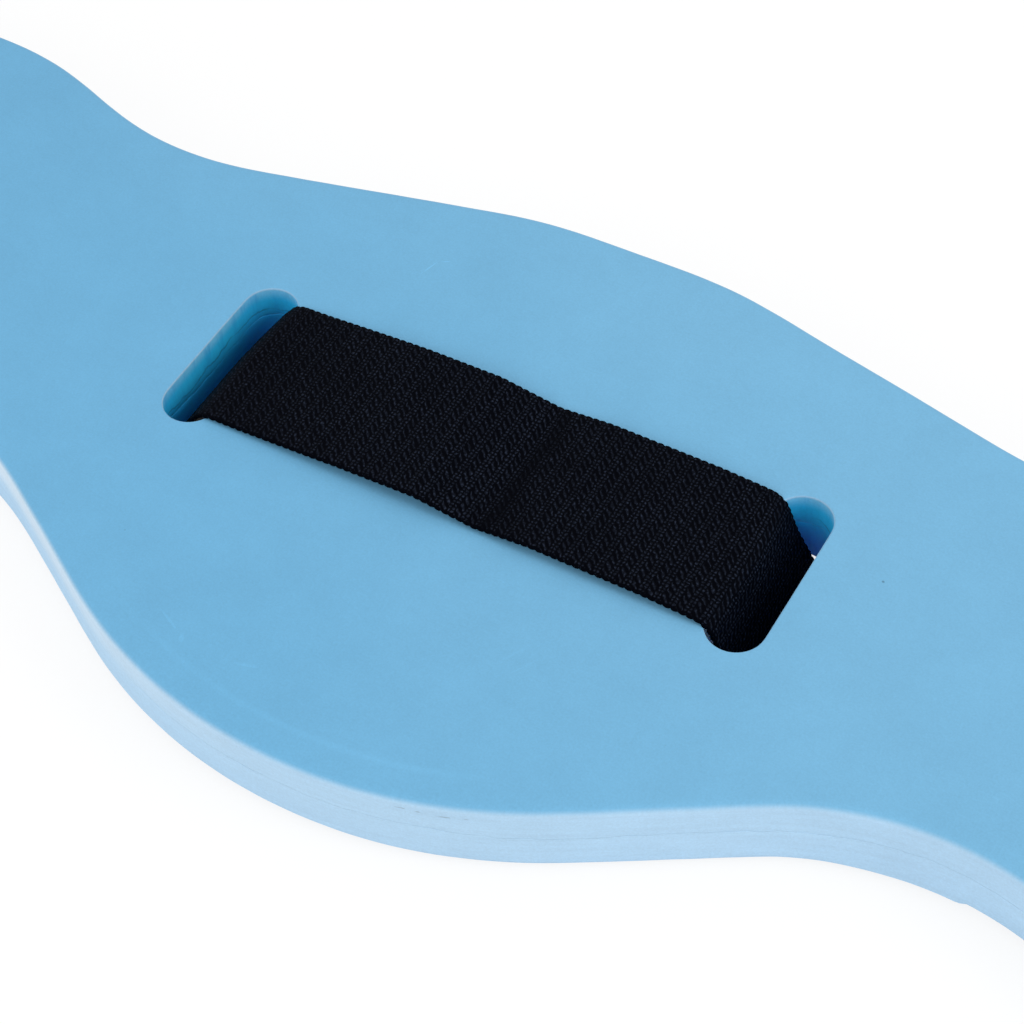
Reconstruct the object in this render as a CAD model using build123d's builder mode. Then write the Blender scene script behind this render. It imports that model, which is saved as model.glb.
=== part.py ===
"""Flotation belt: a two-ply foam board, laced with one webbing strap that ends in a side-release buckle.

Millimetres. X runs along the belt, Y across it towards the ribs, and Z up out of its outer face.
The origin is midway between the two centre slots, on the surface that the belt lies on.
"""
import os
from math import atan2, hypot, pi, tan

from build123d import *

# ---------------------------------------------------------------- foam board
board_length = 700.0
outer_ply_thickness = 11.5
inner_ply_thickness = 13.5
rib_side_height = 91.9        # from the slot line to the middle lobe's upper crest
rib_side_lobe = 85.5          # the same for an end lobe
rib_side_waist = 63.3         # where the sloping edges of two lobes would meet
rib_crest_reach = 31.6        # from the middle to the corner that rounds into the upper crest
rib_waist_inset = 196.7       # from the board's end to the waist's corner
rib_lobe_inset = 133.5
rib_crest_radius = 134.0
rib_waist_radius = 102.0
hip_side_peak = 137.9         # where the sloping edges either side of the lower crest would meet
hip_side_lobe = 78.9
hip_side_waist = 45.2
hip_waist_inset = 194.6
hip_lobe_inset = 110.2
hip_crest_radius = 151.4
hip_waist_radius = 90.2
lobe_radius = 112.0
end_radius = 74.0
rim_radius = 2.2
bond_chamfer = 0.4            # the small groove where the two plies meet

# ---------------------------------------------------------------- webbing and its slots
webbing_width = 50.0
webbing_thickness = 1.5
slot_width = 17.0
slot_pitch = 174.0            # between the two centre slots
end_slot_inset = 68.0         # from an end slot's middle to the board's end
slot_side_clearance = 4.0     # past each edge of the webbing
slot_rim_radius = 1.2
lay_gap = 0.2                 # between the webbing and what it lies against
ply_gap = 0.1                 # between two layers of webbing
arch_rise = 2.6               # how far the strap stands off the board between the centre slots
arch_reach = 36.0             # from the middle to the top of an arch
arch_bend = 200.0
arch_foot = 8.0               # how far before a slot the arch has come down to foot_rise
foot_rise = 0.8
foot_bend = 60.0
crease_x = 4.0                # the dip across the strap between its two arches
crease_bend = 8.0
upper_wrap = 9.0              # bend of the strap over a slot's upper rim
upper_overlap = 5.0           # how far out over the slot that bend's corner is
lower_wrap = 4.0
lower_overlap = 2.2

# ---------------------------------------------------------------- tails
left_tail = 150.0             # from the board's end to the socket's bar
right_tail = 190.0            # from the board's end to the ladder bar
end_overhang = 6.0            # how far past the board's end the strap turns down
end_bend = 30.0
end_drop = 52.0               # how far past the board's end the strap reaches the floor
drop_bend = 45.0
sewn_flat = 17.0              # from the socket's bar to where the lower layer lies flat
sewn_seam = 21.0              # the same for the upper layer, sewn down from there on
loop_flare = 6.0              # from the bar to where both layers leave it
flare_bend = 12.0
seam_bend = 20.0
tail_lead = 2.0               # from the ladder bar to where the tail turns down
tail_drop = 6.5
tail_bend = 3.0
sewn_length = 42.0
loose_tail = 118.0            # from the ladder bar back to the strap's hemmed end
hem_length = 14.0

# ---------------------------------------------------------------- buckle
buckle_height = 13.0
bar_radius = 2.2
bar_clearance = 0.3           # between a bar and the webbing round it
loop_room = 1.4               # between the webbing's loop and the wall in front of it
rail_gap = 1.3                # between the webbing's edge and a side rail
rail_width = 5.0
bar_boss = 4.6                # how far a rail's rounded end reaches past its bar

edge_round = 0.7
rail_bend = 4.0
boss_bend = 2.0

socket_depth = 40.0
socket_wall = 2.5
wall_side = 6.2               # side wall of the socket, from cavity to outside
shoulder = 0.7                # how far the socket's sides stand out past its rails
shoulder_bend = 8.0
bar_rail_inset = 0.6          # how much further in the rails beside the bar are
bar_rail_lead = 3.0           # how far they reach past the loop's space
scoop_depth = 2.4             # hollow for a finger beside each window
scoop_slope = 5.0
scoop_bend = 6.0
scoop_margin = 1.0            # past each end of the window
crown_bend = 40.0             # where the flat top starts to fall towards the mouth
neck_bend = 12.0
neck_margin = 1.0
cavity_height = 8.0
cavity_corner = 2.0
mouth_taper = 0.5
shell_chamfer = 0.6
mouth_corner = 3.0
mouth_lead_in = 0.6           # chamfer round the mouth that guides the prongs in
window_start = 19.4           # from the mouth to the edge that a prong latches behind
window_length = 18.0
notch_width = 15.0
notch_depth = 8.0
guide_height = 0.7
guide_width = 2.0
guide_gap = 0.5               # between the tongue and the guide beside it

frame_height = 11.0
frame_reach = 13.6            # from the ladder bar back to the end of the rails
frame_corner = 2.5
end_bar = 4.4
end_bar_height = 6.0
end_bar_lift = 0.3            # between the loose tail and the end bar over it
end_lip = 2.0                 # flat lip of the end bar, lifted to let the tail slip
dish_floor = 3.4              # from the end bar's underside to the foot of the dish in the rails
dish_bend = 6.0
grip_groove = 0.4             # radius of the grooves between the teeth that hold the tail
grip_pitch = 1.1
cross_member = 5.8
tongue_length = 33.0
tongue_width = 12.0
tongue_tip_width = 8.0
tongue_height = 5.6
tongue_bend = 30.0
tongue_tip_bend = 3.0
tongue_root = 1.0             # how far the tongue reaches into the cross member
tongue_groove = 1.0
groove_margin = 4.0

prong_height = 6.6
prong_slack = 0.7             # between a prong's arm and the socket's side wall
prong_pocket = 0.35           # above and below a prong's root, inside the cross member
arm_width = 3.4
neck_width = 2.6
neck_room = 0.8               # each side of the neck, for the flex
neck_end = 0.8                # from the cross member's front to where the neck widens
neck_flare = 3.4
catch_foot = 0.5              # the catch leans back, from here
catch_lean = 0.8
latch_depth = 3.4
pad_height = 5.1
pad_start = 2.4               # from the window's edge to the press pad
pad_end = 7.6
pad_bend = 2.0
pad_slope_end = 6.0           # from the cavity's depth back to the foot of the pad's far slope
pad_slope_bend = 12.0
pad_groove = 0.35             # radius of the grip grooves across the pad
pad_groove_pitch = 1.4
nose_reach = 0.6              # the nose hooks in towards the tongue
nose_hook = 2.4
nose_width = 3.2
nose_bend = 2.0
nose_back = 9.0
bow = 0.6                     # how far the arm's inner side bulges on the way to the nose
bow_bend = 20.0
prong_chamfer = 0.3
knuckle_radius = 2.3
knuckle_clearance = 0.08
knuckle_depth = 2.6           # from the cross member's front to the knuckle's middle

# ---------------------------------------------------------------- keeper
keeper_wall = 1.5
keeper_length = 11.0
keeper_clearance = 0.3
keeper_side_clearance = 0.8
keeper_corner = 1.6
keeper_offset = 62.0          # from the ladder bar back to the keeper's middle

# ---------------------------------------------------------------- worked out from the above
board_end = board_length / 2
half_webbing = webbing_thickness / 2
board_floor = webbing_thickness + lay_gap
bond_z = board_floor + inner_ply_thickness
board_top = bond_z + outer_ply_thickness
slot_length = webbing_width + 2 * slot_side_clearance
centre_slot = slot_pitch / 2
end_slot = board_end - end_slot_inset
half_slot = slot_width / 2
over_z = board_top + lay_gap + half_webbing
loop_radius = bar_radius + bar_clearance + half_webbing
layer_step = webbing_thickness + ply_gap
half_rail = webbing_width / 2 + rail_gap
half_frame = half_rail + rail_width
mid_z = buckle_height / 2
socket_bar_x = -(board_end + left_tail)
ladder_bar_x = board_end + right_tail
load_z = keeper_wall + keeper_clearance + half_webbing
ladder_bar_z = load_z + loop_radius
tail_z = load_z + layer_step
half_shoulder = half_frame + shoulder
half_cavity = half_shoulder - wall_side
back_wall = loop_radius + half_webbing + loop_room
cross_back = back_wall
cross_front = cross_back + cross_member


def rounded_line(route, close=False):
    """Straight runs through each (u, v, radius), with that bend there or the largest there is room for."""
    before = route[-1:] + route[:-1]
    after = route[1:] + route[:1]
    bends = list(zip(before, route, after))
    radii = []
    for (u0, v0, _), (u1, v1, wished), (u2, v2, _) in bends if close else bends[1:-1]:
        turn = abs(atan2(v2 - v1, u2 - u1) - atan2(v1 - v0, u1 - u0))
        turn = min(turn, 2 * pi - turn)
        shorter = min(hypot(u1 - u0, v1 - v0), hypot(u2 - u1, v2 - v1))
        radii.append(min(wished, 0.49 * shorter / tan(turn / 2)))
    return FilletPolyline(*[(u, v) for u, v, _ in route], radius=radii, close=close)


def side_of_board(sign, floor_z):
    """Corners and bends of the strap from the middle of the board out past one end, down to floor_z."""
    corners = [
        (arch_reach, over_z + arch_rise, arch_bend),
        (centre_slot - half_slot - arch_foot, over_z + foot_rise, foot_bend),
        (centre_slot - half_slot + upper_overlap, over_z, upper_wrap),
        (centre_slot + half_slot - lower_overlap, half_webbing, lower_wrap),
        (end_slot - half_slot + lower_overlap, half_webbing, lower_wrap),
        (end_slot + half_slot - upper_overlap, over_z, upper_wrap),
        (board_end + end_overhang, over_z, end_bend),
        (board_end + end_drop, floor_z, drop_bend),
    ]
    return [(sign * x, z, radius) for x, z, radius in corners]


# ================================================================ foam plies
with BuildSketch() as board_face:
    with BuildLine():
        right_half = [
            (rib_crest_reach, rib_side_height, rib_crest_radius),
            (board_end - rib_waist_inset, rib_side_waist, rib_waist_radius),
            (board_end - rib_lobe_inset, rib_side_lobe, lobe_radius),
            (board_end, rib_side_lobe, end_radius),
            (board_end, -hip_side_lobe, end_radius),
            (board_end - hip_lobe_inset, -hip_side_lobe, lobe_radius),
            (board_end - hip_waist_inset, -hip_side_waist, hip_waist_radius),
        ]
        left_half = [(-x, y, radius) for x, y, radius in right_half[::-1]]
        rounded_line(right_half + [(0, -hip_side_peak, hip_crest_radius)] + left_half, close=True)
    make_face()
    with Locations(*[(x, 0) for x in (-end_slot, -centre_slot, centre_slot, end_slot)]):
        SlotOverall(slot_length, slot_width, rotation=90, mode=Mode.SUBTRACT)

with BuildPart() as foam_inner_ply:
    with BuildSketch(Plane.XY.offset(board_floor)):
        add(board_face.sketch)
    extrude(amount=inner_ply_thickness)
    fillet(faces().sort_by(Axis.Z)[0].outer_wire().edges(), rim_radius)
    fillet([rim.edges() for rim in faces().sort_by(Axis.Z)[0].inner_wires()], slot_rim_radius)
    chamfer(faces().sort_by(Axis.Z)[-1].outer_wire().edges(), bond_chamfer)

with BuildPart() as foam_outer_ply:
    with BuildSketch(Plane.XY.offset(bond_z)):
        add(board_face.sketch)
    extrude(amount=outer_ply_thickness)
    fillet(faces().sort_by(Axis.Z)[-1].outer_wire().edges(), rim_radius)
    fillet([rim.edges() for rim in faces().sort_by(Axis.Z)[-1].inner_wires()], slot_rim_radius)
    chamfer(faces().sort_by(Axis.Z)[0].outer_wire().edges(), bond_chamfer)

# ================================================================ webbing strap
# From the sewn loop round the socket's bar, through the slots, round the ladder bar and back to the hem.
sewn_end_x = socket_bar_x + loop_radius + sewn_length
left_end = [
    (sewn_end_x, half_webbing + layer_step, 0),
    (socket_bar_x + sewn_seam, half_webbing + layer_step, seam_bend),
    (socket_bar_x + loop_flare, mid_z + loop_radius, flare_bend),
    (socket_bar_x - loop_radius, mid_z + loop_radius, loop_radius),
    (socket_bar_x - loop_radius, mid_z - loop_radius, loop_radius),
    (socket_bar_x + loop_flare, mid_z - loop_radius, flare_bend),
    (socket_bar_x + sewn_flat, half_webbing, seam_bend),
]
hem_x = ladder_bar_x - loose_tail
right_end = [
    (ladder_bar_x + loop_radius, load_z, loop_radius),
    (ladder_bar_x + loop_radius, load_z + 2 * loop_radius, loop_radius),
    (ladder_bar_x - tail_lead, load_z + 2 * loop_radius, tail_bend),
    (ladder_bar_x - tail_drop, tail_z, tail_bend),
    (hem_x - layer_step / 2, tail_z, layer_step / 2),
    (hem_x - layer_step / 2, tail_z + layer_step, layer_step / 2),
    (hem_x + hem_length, tail_z + layer_step, 0),
]
crease = [(crease_x, over_z, crease_bend)]
route = left_end + side_of_board(-1, half_webbing)[::-1] + crease + side_of_board(1, load_z) + right_end

with BuildPart() as webbing_strap:
    with BuildLine(Plane.XZ) as strap_path:
        rounded_line(route)
    with BuildSketch(Plane(origin=strap_path.line @ 0, z_dir=strap_path.line % 0, x_dir=(0, 1, 0))):
        Rectangle(webbing_width, webbing_thickness)
    sweep(path=strap_path.line)

# ================================================================ buckle socket
# Its planes start at the bar, with local X running out of the mouth.
socket_bar = (socket_bar_x, 0, mid_z)
socket_plan = Plane(origin=socket_bar, x_dir=(-1, 0, 0), z_dir=(0, 0, 1))
socket_side = Plane(origin=socket_bar, x_dir=(-1, 0, 0), z_dir=(0, 1, 0))
cavity_end = back_wall + socket_wall
mouth = cavity_end + socket_depth
socket_mouth = Plane(origin=(socket_bar_x - mouth, 0, mid_z), x_dir=(0, 1, 0), z_dir=(-1, 0, 0))
window_near = mouth - window_start
window_far = window_near - window_length
half_bar_end = half_frame - bar_rail_inset
half_scoop = half_shoulder - scoop_depth
guide_length = socket_depth - notch_depth
guide_y = (tongue_width + guide_width) / 2 + guide_gap
guide_z = (cavity_height - guide_height) / 2

with BuildPart() as buckle_socket:
    with BuildSketch(socket_plan):
        with BuildLine():
            plan = [
                (mouth, 0, 0),
                (mouth, half_frame, mouth_corner),
                (window_near + scoop_margin, half_shoulder, shoulder_bend),
                (window_near - scoop_slope, half_scoop, scoop_bend),
                (window_far + scoop_slope, half_scoop, scoop_bend),
                (window_far - scoop_margin, half_shoulder, shoulder_bend),
                (cavity_end, half_shoulder, scoop_bend),
                (back_wall - bar_rail_lead, half_bar_end, rail_bend),
                (-bar_boss, half_bar_end, boss_bend),
                (-bar_boss, half_rail, edge_round),
                (back_wall, half_rail, boss_bend),
                (back_wall, 0, 0),
            ]
            rounded_line(plan)
            mirror(about=Plane.XZ)
        make_face()
    extrude(amount=mid_z, both=True)
    chamfer(edges().group_by(Axis.Z)[0] + edges().group_by(Axis.Z)[-1], shell_chamfer)
    with BuildSketch(socket_side):
        with BuildLine():
            flank = [
                (mouth, 0, 0),
                (mouth, mid_z - mouth_taper, edge_round),
                (mouth - socket_depth / 2, mid_z, crown_bend),
                (cavity_end + neck_margin, mid_z, neck_bend),
                (back_wall - boss_bend, bar_boss, rail_bend),
                (-bar_boss, bar_boss, bar_boss),
                (-bar_boss, 0, 0),
            ]
            rounded_line(flank)
            mirror(about=Plane.XZ)
        make_face()
    extrude(amount=buckle_height + half_frame, both=True, mode=Mode.INTERSECT)
    with Locations(Location(socket_bar, (90, 0, 0))):
        Cylinder(bar_radius, 2 * half_rail + bar_radius)
    with BuildSketch(socket_mouth):
        RectangleRounded(2 * half_cavity, cavity_height, cavity_corner)
    extrude(amount=-socket_depth, mode=Mode.SUBTRACT)
    with BuildSketch(socket_mouth):
        RectangleRounded(2 * half_cavity, cavity_height, cavity_corner)
        offset(amount=mouth_lead_in)
    extrude(amount=-mouth_lead_in, taper=45, mode=Mode.SUBTRACT)
    with BuildSketch(socket_side):
        with Locations(((window_near + window_far) / 2, 0)):
            RectangleRounded(window_length, cavity_height, cavity_corner)
    extrude(amount=buckle_height + half_frame, both=True, mode=Mode.SUBTRACT)
    with BuildSketch(socket_plan):
        with Locations((mouth, 0)):
            Ellipse(notch_depth, notch_width / 2)
    extrude(amount=buckle_height, both=True, mode=Mode.SUBTRACT)
    for side in (-1, 1):
        for face in (-1, 1):
            guide_middle = Location((cavity_end + guide_length / 2, side * guide_y, face * guide_z))
            with Locations(socket_plan * guide_middle):
                Box(guide_length, guide_width, guide_height)

# ================================================================ buckle frame
# Local X runs from the ladder bar towards the prongs' tips.
ladder_bar = (ladder_bar_x, 0, ladder_bar_z)
frame_plan = Plane(origin=(ladder_bar_x, 0, mid_z))
frame_side = Plane(origin=(ladder_bar_x, 0, 0), x_dir=(1, 0, 0), z_dir=(0, -1, 0))
frame_floor = mid_z - frame_height / 2
frame_top = mid_z + frame_height / 2
end_bar_floor = tail_z + half_webbing + end_bar_lift
end_bar_top = end_bar_floor + end_bar_height
knuckle_x = cross_front - knuckle_depth
knuckle_y = half_cavity - prong_slack - arm_width / 2
well_length = frame_reach - end_bar + cross_back

with BuildPart() as buckle_frame:
    with BuildSketch(frame_side):
        with BuildLine():
            flank = [
                (cross_back, 0, rail_bend),
                (cross_front, frame_floor, edge_round),
                (cross_front, frame_top, boss_bend),
                (cross_back, frame_top, dish_bend),
                (end_bar + end_lip - frame_reach, end_bar_floor + dish_floor, dish_bend),
                (end_lip - frame_reach, end_bar_top, edge_round),
                (-frame_reach, end_bar_top, edge_round),
                (-frame_reach, end_bar_floor, edge_round),
                (end_bar - frame_reach, 0, boss_bend),
            ]
            rounded_line(flank, close=True)
        make_face()
    extrude(amount=half_frame, both=True)
    fillet(edges().group_by(Axis.Y)[0] + edges().group_by(Axis.Y)[-1], edge_round)
    with BuildSketch(Plane.XY):
        with Locations((ladder_bar_x + (cross_front - frame_reach) / 2, 0)):
            RectangleRounded(cross_front + frame_reach, 2 * half_frame, frame_corner)
    extrude(amount=2 * buckle_height, mode=Mode.INTERSECT)
    with BuildSketch(Plane.XY):
        with Locations((ladder_bar_x + cross_back - well_length / 2, 0)):
            Rectangle(well_length, 2 * half_rail)
    extrude(amount=2 * buckle_height, mode=Mode.SUBTRACT)
    with Locations((ladder_bar_x - frame_reach, 0, end_bar_floor / 2)):
        Box(3 * end_bar, 2 * half_rail, end_bar_floor, mode=Mode.SUBTRACT)
    for tooth in (-1, 0, 1):
        groove_x = ladder_bar_x - frame_reach + end_bar / 2 + tooth * grip_pitch
        with Locations(Location((groove_x, 0, end_bar_floor), (90, 0, 0))):
            Cylinder(grip_groove, webbing_width, mode=Mode.SUBTRACT)
    with Locations(Location(ladder_bar, (90, 0, 0))):
        Cylinder(bar_radius, 2 * half_rail + bar_radius)
    with BuildSketch(frame_plan):
        with BuildLine():
            half_tongue = [
                (cross_front - tongue_root, 0, 0),
                (cross_front - tongue_root, tongue_width / 2, prong_chamfer),
                (cross_front + tongue_length / 2, tongue_width / 2, tongue_bend),
                (cross_front + tongue_length, tongue_tip_width / 2, tongue_tip_bend),
                (cross_front + tongue_length, 0, 0),
            ]
            rounded_line(half_tongue)
            mirror(about=Plane.XZ)
        make_face()
    extrude(amount=tongue_height / 2, both=True)
    for face in (-1, 1):
        with BuildSketch(frame_plan.offset(face * tongue_height / 2)):
            with Locations((cross_front + tongue_length / 2, 0)):
                SlotOverall(tongue_length - 2 * groove_margin, tongue_tip_width / 2)
        extrude(amount=-face * tongue_groove, mode=Mode.SUBTRACT)
    with BuildSketch(frame_plan):
        with Locations((knuckle_x, knuckle_y), (knuckle_x, -knuckle_y)):
            Circle(knuckle_radius + knuckle_clearance)
        with Locations((cross_front, knuckle_y), (cross_front, -knuckle_y)):
            Rectangle(2 * knuckle_depth, neck_width + 2 * neck_room)
    extrude(amount=prong_height / 2 + prong_pocket, both=True, mode=Mode.SUBTRACT)


# ================================================================ prongs
def prong_arm(side):
    """A sprung arm from its knuckle to its hooked nose, with its catch and grooved press pad outwards."""
    knuckle = (ladder_bar_x + knuckle_x, side * knuckle_y, mid_z)
    root = Plane(origin=knuckle, x_dir=(1, 0, 0), z_dir=(0, 0, side))
    arm = arm_width / 2
    neck = neck_width / 2
    catch = knuckle_depth + window_start
    pad_y = arm + pad_height
    pad_middle = catch + (pad_start + pad_end) / 2
    outline = [
        (0, neck, 0.1),
        (knuckle_depth + neck_end, neck, edge_round),
        (knuckle_depth + neck_flare, arm, boss_bend),
        (catch + catch_foot, arm, catch_foot),
        (catch + catch_foot - catch_lean, arm + latch_depth, catch_foot),
        (catch + pad_start, pad_y, pad_bend),
        (catch + pad_end, pad_y, pad_bend),
        (socket_depth - pad_slope_end, arm, pad_slope_bend),
        (socket_depth + nose_reach, -arm - nose_hook, nose_bend),
        (socket_depth + nose_reach - nose_bend, -arm - nose_hook - nose_width, nose_bend),
        (socket_depth - nose_back, -arm - nose_hook, pad_slope_bend),
        (socket_depth / 2, -arm - bow, bow_bend),
        (knuckle_depth + neck_flare, -arm, boss_bend),
        (knuckle_depth + neck_end, -neck, edge_round),
        (0, -neck, 0.1),
    ]
    with BuildPart() as prong:
        with BuildSketch(root):
            Circle(knuckle_radius)
            with BuildLine():
                rounded_line(outline, close=True)
            make_face()
            with Locations(*[(pad_middle + k * pad_groove_pitch, pad_y) for k in (-1, 0, 1)]):
                Circle(pad_groove, mode=Mode.SUBTRACT)
        extrude(amount=prong_height / 2, both=True)
        chamfer(edges().group_by(Axis.Z)[0] + edges().group_by(Axis.Z)[-1], prong_chamfer)
    return prong


# ================================================================ keeper
keeper_floor = keeper_wall
keeper_ceiling = tail_z + half_webbing + keeper_clearance
keeper_height = keeper_ceiling + keeper_wall
keeper_room = keeper_ceiling - keeper_floor
keeper_half_width = webbing_width / 2 + keeper_side_clearance + keeper_wall
keeper_start = Plane(origin=(ladder_bar_x - keeper_offset - keeper_length / 2, 0, keeper_height / 2),
                     x_dir=(0, 1, 0), z_dir=(1, 0, 0))

with BuildPart() as strap_keeper:
    with BuildSketch(keeper_start):
        RectangleRounded(2 * keeper_half_width, keeper_height, keeper_corner)
    extrude(amount=keeper_length)
    fillet(edges().group_by(Axis.X)[0] + edges().group_by(Axis.X)[-1], edge_round)
    with BuildSketch(keeper_start):
        RectangleRounded(2 * (keeper_half_width - keeper_wall), keeper_room, keeper_corner / 2)
    extrude(amount=keeper_length, mode=Mode.SUBTRACT)

pieces = {
    "foam_inner_ply": foam_inner_ply,
    "foam_outer_ply": foam_outer_ply,
    "webbing_strap": webbing_strap,
    "buckle_socket": buckle_socket,
    "buckle_frame": buckle_frame,
    "buckle_prong_left": prong_arm(-1),
    "buckle_prong_right": prong_arm(1),
    "strap_keeper": strap_keeper,
}
os.makedirs("parts", exist_ok=True)
for name, piece in pieces.items():
    piece.part.label = name
    export_step(piece.part, f"parts/{name}.step")
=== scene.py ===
"""Looks of a foam flotation belt: two-ply board, laced webbing and side-release buckle.

Everything is in metres, in the CAD model's frame: X along the belt, Y towards the ribs, Z up.
"""
import functools
import math

import bpy
import numpy as np
from mathutils import Matrix, Vector, geometry, noise


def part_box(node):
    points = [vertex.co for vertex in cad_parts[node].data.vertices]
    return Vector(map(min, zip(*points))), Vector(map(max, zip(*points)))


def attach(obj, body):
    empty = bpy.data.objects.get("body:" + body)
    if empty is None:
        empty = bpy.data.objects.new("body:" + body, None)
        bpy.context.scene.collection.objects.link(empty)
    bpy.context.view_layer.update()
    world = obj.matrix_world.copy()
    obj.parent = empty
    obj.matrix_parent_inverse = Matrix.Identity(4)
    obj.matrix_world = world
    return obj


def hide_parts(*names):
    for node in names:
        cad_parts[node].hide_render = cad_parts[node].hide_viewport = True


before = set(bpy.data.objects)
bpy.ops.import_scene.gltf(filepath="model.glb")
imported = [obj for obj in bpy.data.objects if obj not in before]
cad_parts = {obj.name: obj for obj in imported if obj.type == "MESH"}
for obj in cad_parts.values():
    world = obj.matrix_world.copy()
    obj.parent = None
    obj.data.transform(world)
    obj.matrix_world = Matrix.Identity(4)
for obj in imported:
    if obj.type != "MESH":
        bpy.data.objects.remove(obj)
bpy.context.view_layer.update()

MM = 0.001

# ---------------------------------------------------------------- foam board
# A noise layer is (size of its lumps, weight, seed).
BOARD_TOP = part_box("foam_outer_ply")[1].z
BOND_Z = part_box("foam_outer_ply")[0].z
BOARD_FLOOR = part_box("foam_inner_ply")[0].z
RIM_RADIUS = 2.2 * MM
SLOT_RIM_RADIUS = 0.6 * MM
CAD_SLOT_RIM = 1.2 * MM        # height of the CAD model's slot rims, where its slot loops are read
RIM_STEPS = 6
FACE_MARGIN = 1.2 * MM         # flat ring between a rim and the open face
WALL_ROWS = 5
OUTLINE_STEP = 1.6 * MM
SLOT_STEP = 1.0 * MM
FACE_STEP = 6.0 * MM
BOND_LIP = 0.35 * MM           # height over which the groove at the bond closes
BOND_REACH = 3.0 * MM          # how far in the wavy bond runs before it is flat
BOND_WAVE = ((26 * MM, 1.0, 3), (5 * MM, 0.6, 5), (2.2 * MM, 0.35, 14))
GROOVE_GAPS = (9 * MM, 1.6, 9)
WALL_STRAY = ((45 * MM, 1.0, 1), (9 * MM, 0.3, 8))
STRAY_DEPTH = 10 * MM          # how far from the bond the strays of a wall change over its height
CUT_FADE = (0.2, 1.1)          # the turn of a rim, in radians, over which cut foam becomes skin
SLIP = 0.9 * MM                # how far the lip that the knife left stands out
SLIP_START = (120 * MM, 150 * MM)
SLIP_END = (167.5 * MM, 169.5 * MM)
SKIN_WAVE = (55 * MM, 0.10 * MM, 12)
CREST = (0, 38.5 * MM)         # middle of the arc that the near edge's crest follows
PRESSED = 142 * MM             # beyond this far from it, the skin rolls down towards the edge
PRESS_DEPTH = 0.45 * MM
PRESS_RUN = 10 * MM            # over which the skin goes down by that
PRESS_REACH = (60 * MM, 95 * MM)
# Each kind of wall: its rim, how far it strays, the depth of its groove and its bond's waves
EDGE = {"radius": RIM_RADIUS, "stray": 0.22 * MM, "groove": 0.14 * MM, "wave": 0.8 * MM,
        "slot": False}
SLOT = {"radius": SLOT_RIM_RADIUS, "stray": 0.12 * MM, "groove": 0.22 * MM, "wave": 1.3 * MM,
        "slot": True}
EDGE_SOFTNESS = 5 * MM
SLOT_SOFTNESS = 1 * MM
LONGEST_SLOT = 0.1             # the outline is longer than this along X, and no slot is
SAME_PLACE = 2e-6
JOIN_WITHIN = 1e-7

# ---------------------------------------------------------------- webbing
WEBBING_WIDTH = 50 * MM
WEBBING_THICKNESS = 1.5 * MM
PICK = 1.14 * MM               # one weft crossing along the strap
END = 1.19 * MM                # one warp yarn across it
RELIEF = 0.13 * MM
LOW_BAND = 0.55                # share of that relief in the bands of paired dots
EDGE_ROUND = 0.1 * MM          # how much narrower the rounded edges are than the webbing
BEAD_PICKS = 2                 # the weft turns at the edge once in so many picks
BEAD_INSET = 0.50 * MM
BEAD = (1.22 * MM, 0.62 * MM, 0.70 * MM)
BEAD_AROUND = 8
BEAD_RINGS = 5
TWIST = 1.7 * MM               # how far the strap's far edge turns aside at a centre slot
NEAR_LIFT = 0.5 * MM           # how far its near edge stands up between the slots
LEAN = 0.5 * MM                # how far it leans about LEAN_X
LEAN_X = -42
LEAN_REACH = 30
LEAN_FADE = (76, 82)           # these four and LEAN_X are in millimetres along X or Z
TWIST_IN = (74, 80)
TWIST_OUT = (90, 97)
TWIST_UP = (5, 17)
BEND_STEP = math.radians(4)


# ================================================================ helpers
def piece(name, mesh, body, material):
    """A finished mesh as an object that rides on a body and belongs to a material slot."""
    thing = bpy.data.objects.new(name, mesh)
    bpy.context.scene.collection.objects.link(thing)
    mesh.materials.append(material)
    for face in mesh.polygons:
        face.use_smooth = True
    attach(thing, body)
    return thing


def smoothstep(low, high, value):
    share = np.clip((value - low) / (high - low), 0, 1)
    return share * share * (3 - 2 * share)


def unevenness(points, size, seed):
    """Smooth noise from -1 to 1 at each point, with lumps of about that size."""
    shift = Vector((seed, 2.3 * seed, -1.7 * seed))
    return np.array([noise.noise(Vector(p) / size + shift) for p in points])


def layered(points, layers):
    """The sum of noise layers at each point."""
    return sum(weight * unevenness(points, size, seed) for size, weight, seed in layers)


# ================================================================ loops of the foam
def loops_at(node, height):
    """The closed loops of a CAD node's mesh at one height, each as points in walking order."""
    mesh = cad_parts[node].data
    corner = [tuple(round(c, 6) for c in v.co) for v in mesh.vertices]
    beside = {}
    for edge in mesh.edges:
        a, b = (corner[i] for i in edge.vertices)
        if a != b and max(abs(a[2] - height), abs(b[2] - height)) < SAME_PLACE:
            beside.setdefault(a, set()).add(b)
            beside.setdefault(b, set()).add(a)
    loops = []
    while beside:
        loop = [next(iter(sorted(beside)))]
        while True:
            onward = [p for p in sorted(beside.get(loop[-1], ())) if p not in loop[-2:]]
            if not onward or onward[0] == loop[0] and len(loop) > 2:
                break
            loop.append(onward[0])
        for point in loop:
            beside.pop(point, None)
        loops.append(np.array(loop)[:, :2])
    return loops


def signed_area(loop):
    after = np.roll(loop, -1, axis=0)
    return (loop[:, 0] * after[:, 1] - loop[:, 1] * after[:, 0]).sum() / 2


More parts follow.
